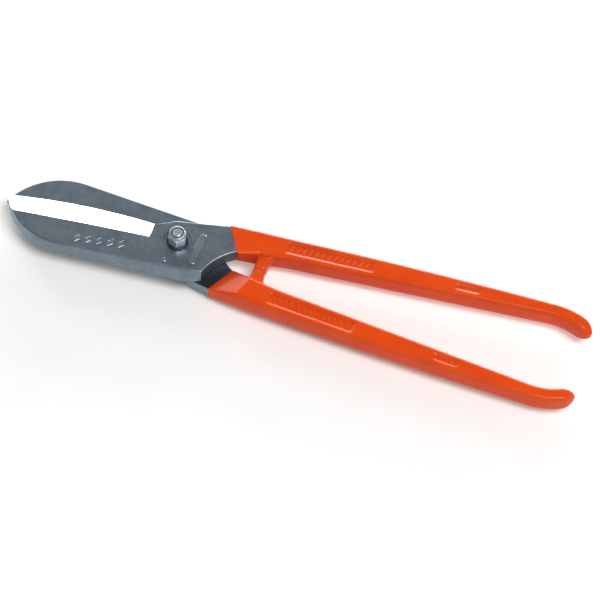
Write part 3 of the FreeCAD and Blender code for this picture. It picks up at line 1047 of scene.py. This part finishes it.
@dataclass(frozen=True)
class CoatedHandle:
    """The dipped handle with its stop lug, in millimetres."""

    reach: float = 212.2
    thickness: float = 10.6
    soft: float = 1.7
    dip_outer: Vector = Vector((22.2, 17.5, 0.0))
    dip_inner: Vector = Vector((30.6, 3.3, 0.0))
    ramp_outer: Vector = Vector((37.3, 20.0, 0.0))
    ramp_inner: Vector = Vector((41.6, 7.3, 0.0))
    dip_thickness: float = 7.0
    dip_soft: float = 0.4
    shoulder: float = 5.9
    grip_start: float = 57.0
    outer_start: float = 21.5
    inner_start: float = 9.6
    outer_end: float = 27.4
    inner_end: float = 21.1
    crown: float = 0.8
    curl_radius: float = 34.0
    curl_turn: float = 32.0
    cap_length: float = 3.8
    cap_lead: float = 3.2  # the handle starts to narrow this far before the rounded end
    cap_turn: float = 87.0  # degrees at which the last ring closes the end
    coat: float = 0.3
    bead: float = 0.5  # length over which the coating's edge rounds up
    sunk: float = 0.12  # depth under the steel at which that edge starts
    panels: tuple[Panel, ...] = (Panel(53.2, 98.5, 6.2, 13), Panel(140.5, 153.0, 3.2, 3))
    panel_depth: float = 0.7
    panel_corner: float = 1.3
    wall: float = 1.8  # each panel's rim slopes over this width
    rim: float = 0.9  # and the slope starts this far outside the steel's own rim
    reach_out: float = 2.0  # nothing of a panel lies further than this from its ends
    bar_width: float = 0.9
    bar_height: float = 0.3
    bar_crest: float = 0.2  # shares of a bar's width at which its side starts
    bar_foot: float = 0.85  # and ends, from its middle line
    bar_margin: float = 1.2
    bar_lean: float = 20.0
    lug_reach: float = 43.7
    lug_length: float = 7.4
    lug_height: float = 8.8
    lug_taper: float = 1.0
    lug_gap: float = 0.04
    lug_root: float = 10.1
    lug_corner: float = 1.7
    lug_foot: float = 0.6  # the flare ends this far outside the handle's mean side
    lug_bite: float = 0.8  # and the lug's full width runs this far into the handle
    flare: float = 1.5
    face_round: float = 0.35
    face_hold: float = 0.4  # width of the flat band that keeps the stop face's shading level
    fine_step: float = 0.32
    coarse_step: float = 1.1
    ramp_steps: int = 26  # sections from the dip line to the ramp line
    face_steps: int = 30  # points across each face of a section
    side_steps: int = 5  # and up each side

    def curl_start(self) -> tuple[float, float]:
        """Where the end curl starts along X, and the handle's lean there in degrees."""
        rise = self.outer_end + self.inner_end - self.outer_start - self.inner_start
        lean = math.atan2(rise, 2 * (self.reach - self.grip_start))
        length = self.curl_radius * (math.sin(math.radians(self.curl_turn) - lean) + math.sin(lean))
        return self.reach - length - self.cap_length, math.degrees(lean)

    def keys(self) -> tuple[list[float], list[Section], Vector, float]:
        """The sections that shape the handle from the ramp line to the end curl.

        Returns:
            Their distances along the handle, the sections, the middle of the last one
            and the angle at which it stands.
        """
        half = self.thickness / 2
        end, lean = self.curl_start()
        sections = [Section(self.ramp_inner, self.ramp_outer, -half, self.shoulder, self.soft)]
        for i in range(9):
            share = i / 8
            x = self.grip_start + share * (end - self.grip_start)
            bow = 4 * self.crown * share * (1 - share)
            outer = self.outer_start + share * (self.outer_end - self.outer_start) + bow
            inner = self.inner_start + share * (self.inner_end - self.inner_start)
            sections.append(Section(plan(x, inner), plan(x, outer), -half, half, self.soft))
        width = (self.outer_end - self.inner_end) / 2
        centre = plan(end, (self.outer_end + self.inner_end) / 2)
        centre -= polar(AXIS, self.curl_radius, 90 + lean)
        middle, angle = centre, 90.0
        for i in range(1, 9):
            angle = 90 + lean - self.curl_turn * i / 8
            middle = polar(centre, self.curl_radius, angle)
            side = polar(AXIS, width, angle)
            sections.append(Section(middle - side, middle + side, -half, half, self.soft))
        along = [0.0]
        for a, b in zip(sections, sections[1:]):
            along.append(along[-1] + (b.middle - a.middle).length)
        return along, sections, middle, angle

    def stations(self) -> list[Section]:
        """All the sections of the swept handle, close together where the panels are.

        Returns:
            The sections, from the dip line to the start of the rounded end.
        """
        along, keys, _, _ = self.keys()
        rows = [key.numbers() for key in keys]
        slopes = []
        for i in range(len(rows)):
            a, b = max(i - 1, 0), min(i + 1, len(rows) - 1)
            slopes.append([(q - p) / (along[b] - along[a]) for p, q in zip(rows[a], rows[b])])
        dip = Section(self.dip_inner, self.dip_outer, 0.0, self.dip_thickness, self.dip_soft)
        swept = [dip.blend(keys[0], i / self.ramp_steps) for i in range(self.ramp_steps)]
        for i in range(len(rows) - 1):
            span = along[i + 1] - along[i]
            place = 0.0
            while place < span - 1e-6:
                t = place / span
                h = (2 * t**3 - 3 * t**2 + 1, t**3 - 2 * t**2 + t, 3 * t**2 - 2 * t**3, t**3 - t**2)
                swept.append(Section.of([
                    h[0] * a + h[1] * span * m + h[2] * b + h[3] * span * n
                    for a, m, b, n in zip(rows[i], slopes[i], rows[i + 1], slopes[i + 1])]))
                fine = any(p.start - 1.5 < swept[-1].inner.x < p.end + 1.0 for p in self.panels)
                place += self.fine_step if fine else self.coarse_step
        swept.append(keys[-1])
        return swept

    def relief(self, point: Vector) -> float:
        """How far the face lies below the plain one at a plan point.

        Args:
            point: Point of the plan.

        Returns:
            The depth in millimetres.
        """
        end, _ = self.curl_start()
        first, last = (self.outer_start + self.inner_start) / 2, (self.outer_end + self.inner_end) / 2
        slope = (last - first) / (end - self.grip_start)
        along = plan(1.0, slope).normalized()
        across = plan(-along.y, along.x)
        for panel in self.panels:
            if not panel.start - self.reach_out < point.x < panel.end + self.reach_out:
                continue
            middle_x = (panel.start + panel.end) / 2
            middle = plan(middle_x, first + (middle_x - self.grip_start) * slope + self.crown / 3)
            u, v = (point - middle).dot(along), (point - middle).dot(across)
            length, corner = (panel.end - panel.start) / along.x, min(self.panel_corner, panel.width / 2)
            qu, qv = abs(u) - length / 2 + corner, abs(v) - panel.width / 2 + corner
            outside = math.hypot(max(qu, 0.0), max(qv, 0.0)) + min(max(qu, qv), 0.0) - corner
            pocket = min(1.0, max(0.0, (self.rim - outside) / self.wall))
            pitch = length / (panel.bars + 1)
            lean = math.tan(math.radians(self.bar_lean))
            nearest = round((u - v * lean) / pitch + (panel.bars - 1) / 2)
            nearest = min(panel.bars - 1, max(0, nearest))
            bar_u = (nearest - (panel.bars - 1) / 2) * pitch
            reach = max(0.0, panel.width / 2 - self.bar_margin - self.bar_width / 2)
            v_on = min(reach, max(-reach, v))
            away = math.hypot(u - bar_u - v_on * lean, v - v_on)
            bar = 1.0 - ease(away, self.bar_width * self.bar_crest, self.bar_width * self.bar_foot)
            return pocket * (self.panel_depth - self.bar_height * bar)
        return 0.0

    def ring(self, section: Section, grow: float) -> list[Vector]:
        """The rounded outline of one section, with the panels' relief on both faces.

        Args:
            section: The section.
            grow: How far the film stands off the steel.

        Returns:
            The points of the ring.
        """
        side = section.side
        width = (section.outer - section.inner).length + 2 * grow
        start = section.inner - side * grow
        low, high, r = section.low - grow, section.high + grow, max(0.05, section.soft + grow)

        def point(s: float, z: float, depth_sign: float = 0.0) -> Vector:
            """The point s along the section at height z, sunk into the panels on a face."""
            spot = start + side * s
            return at(spot, z + depth_sign * self.relief(spot) if depth_sign else z)

        def corner(s: float, z: float, from_degrees: float) -> list[Vector]:
            """The inner points of the rounded corner whose centre is at s and z."""
            turns = [math.radians(from_degrees + 15 * k) for k in range(1, 6)]
            return [point(s + r * math.cos(t), z + r * math.sin(t)) for t in turns]

        flat, wall = self.face_steps, self.side_steps
        ring = [point(r + (width - 2 * r) * k / flat, low, 1.0) for k in range(flat + 1)]
        ring += corner(width - r, low + r, -90)
        ring += [point(width, low + r + (high - low - 2 * r) * k / wall) for k in range(wall + 1)]
        ring += corner(width - r, high - r, 0)
        ring += [point(width - r - (width - 2 * r) * k / flat, high, -1.0) for k in range(flat + 1)]
        ring += corner(r, high - r, 90)
        ring += [point(0.0, high - r - (high - low - 2 * r) * k / wall) for k in range(wall + 1)]
        ring += corner(r, low + r, 180)
        return ring

    def lug(self) -> bpy.types.Mesh:
        """The stop lug, flared where the film runs up to the handle.

        Returns:
            A closed mesh that reaches into the handle.
        """
        corner = self.lug_corner + self.coat
        surface = (self.inner_start + self.ramp_inner.y) / 2 - self.coat - self.lug_foot
        heights = [self.lug_root, surface + self.lug_bite]
        heights += [surface - self.flare * k / 6 for k in range(7)]
        heights += [surface * 0.5, self.lug_gap + self.face_round]
        rings = [self.lug_ring(y, self.flare_at(y, surface), 0.0, corner) for y in heights]
        for drawn, under in rounding(self.face_round, 3)[1:]:
            rings.append(self.lug_ring(self.lug_gap + under, 0.0, drawn, corner))
        rings.append(self.lug_ring(self.lug_gap, 0.0, self.face_round + self.face_hold, corner))
        return skin("lug", rings)

    def flare_at(self, y: float, surface: float) -> float:
        """How much wider the lug is at y, close to the handle's surface."""
        share = min(1.0, max(0.0, (y - surface + self.flare) / self.flare))
        return self.flare * (1 - math.sqrt(1 - share**2))

    def lug_ring(self, y: float, wide: float, shrink: float, corner: float) -> list[Vector]:
        """One ring of the lug, in the plane across Y.

        Args:
            y: Distance from the centre line.
            wide: Extra half length along the handle.
            shrink: How far all sides are drawn in.
            corner: Radius of the ring's corners.

        Returns:
            The points of the ring.
        """
        taper = self.lug_taper * (1 - y / self.lug_root)
        half = self.lug_length / 2 + self.coat - taper + wide - shrink
        tall = self.lug_height / 2 + self.coat - taper - shrink
        r = corner - shrink
        ring = []
        for cx, cz, start in ((half - r, tall - r, 0), (r - half, tall - r, 90),
                              (r - half, r - tall, 180), (half - r, r - tall, 270)):
            for k in range(7):
                turn = math.radians(start + 15 * k)
                ring.append(Vector((self.lug_reach + cx + r * math.cos(turn), y, cz + r * math.sin(turn))))
        return ring

    def rounded(self, middle: Vector, side: Vector, gone: float) -> list[Vector]:
        """One ring of the rounded end.

        Args:
            middle: Middle of the ring in plan.
            side: Unit vector across the handle.
            gone: Distance from the start of the rounding.

        Returns:
            The points of the ring.
        """
        full = self.cap_lead + self.cap_length + self.coat
        shrink = math.sqrt(max(0.0, 1 - (gone / full) ** 2))
        side = side * (((self.outer_end - self.inner_end) / 2 + self.coat) * shrink)
        depth = (self.thickness / 2 + self.coat) * shrink**0.9
        soft = (self.soft + self.coat) * min(1.0, shrink * 1.5) + 0.9 * shrink * (1 - shrink)
        return self.ring(Section(middle - side, middle + side, -depth, depth, soft), 0.0)

    def film(self) -> bpy.types.Mesh:
        """The coated handle.

        Returns:
            A closed mesh from the coating's edge to the rounded end.
        """
        stations = self.stations()
        rings = []
        first, second = stations[0], stations[1]
        step = (second.middle - first.middle).length
        for share in (0.0, 0.25, 0.5, 0.75, 1.0):
            grow = -self.sunk + (self.coat + self.sunk) * math.sqrt(1 - (1 - share) ** 2)
            rings.append(self.ring(first.blend(second, share * self.bead / step), grow))
        _, _, middle, angle = self.keys()
        for section in stations[2:]:
            to_go = (section.middle - middle).length
            if to_go > self.cap_lead:
                rings.append(self.ring(section, self.coat))
            else:
                rings.append(self.rounded(section.middle, section.side, self.cap_lead - to_go))
        ahead, side = polar(AXIS, 1.0, angle - 90), polar(AXIS, 1.0, angle)
        full = self.cap_lead + self.cap_length + self.coat
        start = math.asin(self.cap_lead / full)
        for k in range(1, 13):
            gone = full * math.sin(start + (math.radians(self.cap_turn) - start) * k / 12)
            rings.append(self.rounded(middle + ahead * (gone - self.cap_lead), side, gone))
        return carve(skin("film", rings), [(self.lug(), Cut.ADD)])


@dataclass(frozen=True)
class Turn:
    """One ring of a turned part: its radius, its height, and any flats on it."""

    radius: float
    z: float
    flats: int = 0
    corner: float = 99.0
    thread: float = 0.0


@dataclass(frozen=True)
class PivotHardware:
    """Bolt, washer and lock nut of the pivot, in millimetres."""

    plate: BladePlate = BladePlate()
    gap: float = 0.02
    bolt_radius: float = 2.5
    core: float = 0.4  # radius of the last ring on both ends of the bolt
    neck_width: float = 7.4
    neck_clear: float = 5.4  # just outside the neck's corners
    head_radius: float = 6.9
    head_height: float = 3.6
    head_flat: float = 3.1
    head_dome: float = 9.0
    washer_radius: float = 5.5
    washer_thickness: float = 1.0
    washer_edge: float = 0.45
    across_flats: float = 8.4
    hex_height: float = 5.5
    hex_chamfer: float = 30.0
    collar_radius: float = 4.1
    collar_height: float = 1.8
    collar_wall: float = 0.75
    collar_round: float = 0.5
    collar_roll: float = 120.0  # degrees by which the collar is rolled over the insert
    insert_height: float = 1.1
    insert_recess: float = 0.35
    protrusion: float = 0.9
    end_chamfer: float = 0.6
    clearance: float = 0.04
    pitch: float = 0.8
    thread_depth: float = 0.38
    nut_turn: float = 40.0
    steps: int = 144

    def washer_base(self) -> float:
        """Height of the washer's lower face."""
        return self.plate.thickness - self.plate.seat_depth + 2 * self.gap

    def nut_base(self) -> float:
        """Height of the nut's lower face."""
        return self.washer_base() + self.washer_thickness

    def nut_top(self) -> float:
        """Height of the top of the nut's collar."""
        return self.nut_base() + self.hex_height + self.collar_height

    def turned(self, name: str, turns: Sequence[Turn], tube: bool, start: float = 0.0) -> bpy.types.Mesh:
        """A part turned on the pivot axis.

        Args:
            name: Name of the mesh.
            turns: Its rings, in order round the profile.
            tube: Whether the part has a hole through it.
            start: Angle of the first flat, in degrees.

        Returns:
            A closed mesh.
        """
        rings = []
        for turn in turns:
            ring = []
            for i in range(self.steps):
                degrees = 360.0 * i / self.steps
                radius = turn.radius
                if turn.flats:
                    share = 360.0 / turn.flats
                    off = (degrees - start) % share - share / 2
                    radius = min(turn.radius / math.cos(math.radians(off)), turn.corner)
                if turn.thread:
                    phase = (turn.z / self.pitch + degrees / 360.0) % 1.0
                    radius -= turn.thread * (1 - abs(2 * phase - 1))
                ring.append(at(polar(AXIS, radius, degrees), turn.z))
            rings.append(ring)
        return skin(name, rings, tube)

    def bolt(self) -> bpy.types.Mesh:
        """The pivot bolt with its domed head, square neck and threaded end."""
        seat = -(self.plate.thickness - self.plate.seat_depth) - self.gap
        bottom = seat - self.head_height
        middle = bottom + math.sqrt(self.head_dome**2 - self.head_flat**2)
        turns = [Turn(self.core, bottom), Turn(self.head_flat - 0.5, bottom)]
        for k in range(13):
            radius = self.head_flat + (self.head_radius - self.head_flat) * k / 12
            turns.append(Turn(radius, middle - math.sqrt(self.head_dome**2 - radius**2)))
        turns += [Turn(self.head_radius, seat - 0.25), Turn(self.head_radius - 0.08, seat - 0.08),
                  Turn(self.head_radius - 0.25, seat), Turn(self.neck_clear, seat)]
        neck = self.neck_width / 2
        turns += [Turn(neck, seat, 4), Turn(neck, -self.gap, 4), Turn(self.bolt_radius, -self.gap)]
        end = self.nut_top() + self.protrusion
        start, step = self.nut_base(), self.pitch / 12
        turns.append(Turn(self.bolt_radius, start - 0.01))
        z = start
        while z < end - self.end_chamfer:
            fade = ease(z, start, start + 1.0)
            turns.append(Turn(self.bolt_radius, z, thread=self.thread_depth * fade + 1e-6))
            z += step
        for k in range(5):
            z = end - self.end_chamfer * (1 - k / 4)
            turns.append(Turn(self.bolt_radius - self.end_chamfer * k / 4 - 0.02, z,
                              thread=self.thread_depth * 0.5 * (1 - k / 4) + 1e-6))
        turns += [Turn(self.bolt_radius - self.end_chamfer - 0.2, end), Turn(self.core, end)]
        return self.turned("bolt", turns, False)

    def washer(self) -> bpy.types.Mesh:
        """The plain washer with a rounded upper edge."""
        low, high, edge = self.washer_base(), self.nut_base(), self.washer_edge
        hole = self.bolt_radius + self.clearance
        turns = [Turn(hole, low), Turn(self.washer_radius - 0.3, low),
                 Turn(self.washer_radius - 0.06, low + 0.06), Turn(self.washer_radius, low + 0.3)]
        turns += [Turn(self.washer_radius - drawn, high - under) for drawn, under in rounding(edge, 6)]
        turns += [Turn(self.washer_radius - edge - 0.4, high), Turn(hole, high)]
        return self.turned("washer", turns, True)

    def nut(self) -> bpy.types.Mesh:
        """The lock nut: chamfered hexagon under a collar rolled over the insert."""
        base, flange, top = self.nut_base(), self.nut_base() + self.hex_height, self.nut_top()
        flat = self.across_flats / 2
        corner = flat / math.cos(math.radians(30))
        slope = math.tan(math.radians(self.hex_chamfer))
        hole = self.bolt_radius + self.clearance
        turns = [Turn(hole, base), Turn(flat - 0.6, base), Turn(flat - 0.15, base)]
        for k in range(7):
            cap = flat + (corner - flat) * k / 6
            turns.append(Turn(flat, base + (cap - flat) * slope, 6, cap))
        for k in range(1, 8):
            turns.append(Turn(flat, base + self.hex_height * k / 8, 6, corner - 0.06))
        for k in range(7):
            cap = corner + (flat - corner) * k / 6
            turns.append(Turn(flat, flange - (cap - flat) * slope, 6, cap))
        turns += [Turn(self.collar_radius + 0.12, flange), Turn(self.collar_radius, flange + 0.14),
                  Turn(self.collar_radius, flange + 0.6)]
        turns += [Turn(self.collar_radius - drawn, top - under)
                  for drawn, under in rounding(self.collar_round, 8, self.collar_roll)]
        inner = self.collar_radius - self.collar_wall
        ledge = top - self.insert_recess - self.insert_height
        turns += [Turn(inner, top - self.insert_recess), Turn(inner, ledge), Turn(hole, ledge)]
        return self.turned("nut", turns, True, self.nut_turn)

    def insert(self) -> bpy.types.Mesh:
        """The nylon ring in the collar, crowned where the collar presses it."""
        high = self.nut_top() - self.insert_recess
        low = high - self.insert_height
        hole, outer = self.bolt_radius + self.clearance, self.collar_radius - self.collar_wall
        turns = [Turn(hole, low), Turn(outer, low)]
        for k in range(9):
            share = k / 8
            turns.append(Turn(outer + (hole - outer) * share, high - 0.3 * (2 * share - 1) ** 2))
        return self.turned("ring", turns, True)


# -------------------------------------------------------------------- studio
@dataclass(frozen=True)
class Lamp:
    """One soft panel of light."""

    name: str
    spot: tuple[float, float, float]
    wide: float
    high: float
    watts: float
    tint: str = "#FFFFFF"


@dataclass(frozen=True)
class Studio:
    """White floor, soft lights and the camera, in metres and degrees."""

    azimuth: float = 13.435
    elevation: float = 58.775
    distance: float = 0.95048
    aim: tuple[float, float] = (0.068019, -0.008862)  # from the pivot axis
    roll: float = 4.693
    lens: float = 113.697
    floor_size: float = 8.0
    floor_drop: float = 0.0002
    clip: tuple[float, float] = (0.01, 20.0)
    sky: str = "#FFFFFF"
    overhead_strength: float = 0.23
    horizon_strength: float = 0.8
    horizon_band: tuple[float, float] = (0.12, 0.62)  # heights on the unit sphere
    lamps: tuple[Lamp, ...] = (
        Lamp("overhead", (0.6, -0.3, 1.45), 0.8, 0.8, 19.5),
        Lamp("window", (-0.2, 1.4, 0.26), 1.1, 0.34, 18.0),
        Lamp("side", (-1.0, 0.95, 0.65), 0.45, 0.45, 4.0),
    )

    def build(self) -> None:
        """Sets the stage, the lights and the camera."""
        self.lay_floor()
        self.light()
        self.stand_camera()

    def lay_floor(self) -> None:
        """Lays the paper under the lowest point of the snips."""
        half = self.floor_size / 2
        mesh = bpy.data.meshes.new("floor")
        corners = [(-half, -half, 0), (half, -half, 0), (half, half, 0), (-half, half, 0)]
        mesh.from_pydata(corners, [], [(0, 1, 2, 3)])
        mesh.materials.append(StudioPaper().build())
        floor = bpy.data.objects.new("floor", mesh)
        floor.location = (0.0, 0.0, -self.floor_drop)
        bpy.context.scene.collection.objects.link(floor)

    def light(self) -> None:
        """Hangs the lamps and sets the even light of the room."""
        for lamp in self.lamps:
            data = bpy.data.lights.new(lamp.name, "AREA")
            data.shape, data.energy = "RECTANGLE", lamp.watts
            data.size, data.size_y = lamp.wide, lamp.high
            data.color = linear(lamp.tint)[:3]
            body = bpy.data.objects.new(lamp.name, data)
            body.location = lamp.spot
            body.rotation_euler = (-Vector(lamp.spot)).to_track_quat("-Z", "Y").to_euler()
            bpy.context.scene.collection.objects.link(body)
        world = bpy.data.worlds.new("room")
        world.use_nodes = True
        world.node_tree.nodes.clear()
        add = partial(add_node, world.node_tree)
        height = add("SeparateXYZ", {0: add("TexCoord").outputs["Generated"]}).outputs["Z"]
        strength = add("MapRange", {
            "Value": height, "From Min": self.horizon_band[0], "From Max": self.horizon_band[1],
            "To Min": self.horizon_strength, "To Max": self.overhead_strength,
        }, interpolation_type="SMOOTHSTEP")
        room = add("Background", {"Color": linear(self.sky), "Strength": strength})
        add("OutputWorld", {"Surface": room})
        bpy.context.scene.world = world
        bpy.context.scene.view_settings.view_transform = "Standard"

    def stand_camera(self) -> None:
        """Stands the camera at the viewing angle."""
        a, e, roll = (math.radians(v) for v in (self.azimuth, self.elevation, self.roll))
        back = Vector((math.sin(a) * math.cos(e), -math.cos(a) * math.cos(e), math.sin(e)))
        level = Vector((math.cos(a), math.sin(a), 0.0))
        upright = back.cross(level)
        right = level * math.cos(roll) + upright * math.sin(roll)
        over = upright * math.cos(roll) - level * math.sin(roll)
        target = PIVOT + Vector((*self.aim, 0.0))
        data = bpy.data.cameras.new("camera")
        data.lens, (data.clip_start, data.clip_end) = self.lens, self.clip
        camera = bpy.data.objects.new("camera", data)
        turn = Matrix((right, over, back)).transposed().to_4x4()
        camera.matrix_world = Matrix.Translation(target + back * self.distance) @ turn
        bpy.context.scene.collection.objects.link(camera)
        bpy.context.scene.camera = camera


def main() -> None:
    """Builds the pieces in order, then the studio round them."""
    logging.basicConfig(level=logging.INFO, format="%(name)s: %(message)s")
    steel, ground, coat = ForgedSteel().build(), GroundSteel().build(), DipCoat().build()
    zinc, oxide, nylon = BRIGHT_ZINC.build(), BLACK_OXIDE.build(), MouldedNylon().build()
    plate, handle, pivot = BladePlate(), CoatedHandle(), PivotHardware()
    film = handle.film()
    for half in Half:
        side = half.value.split("_")[0]
        blade = DiePiece(f"{side}_blade", half, f"{side}_forging", Slot.STEEL, [steel, ground], 22.0)
        blade.place(plate.forging(half))
        DiePiece(f"{side}_grip", half, f"{side}_handle_coat", Slot.COAT, [coat], 50.0).place(film)
    Piece("bolt", Half.REAR, "pivot_bolt", Slot.PLATED, [zinc]).place(pivot.bolt())
    Piece("washer", Half.REAR, "pivot_washer", Slot.WASHER, [oxide]).place(pivot.washer())
    Piece("nut", Half.REAR, "lock_nut", Slot.PLATED, [zinc], 25.0).place(pivot.nut())
    Piece("nut_ring", Half.REAR, "nut_insert", Slot.NYLON, [nylon]).place(pivot.insert())
    Studio().build()


if __name__ == "__main__":
    main()
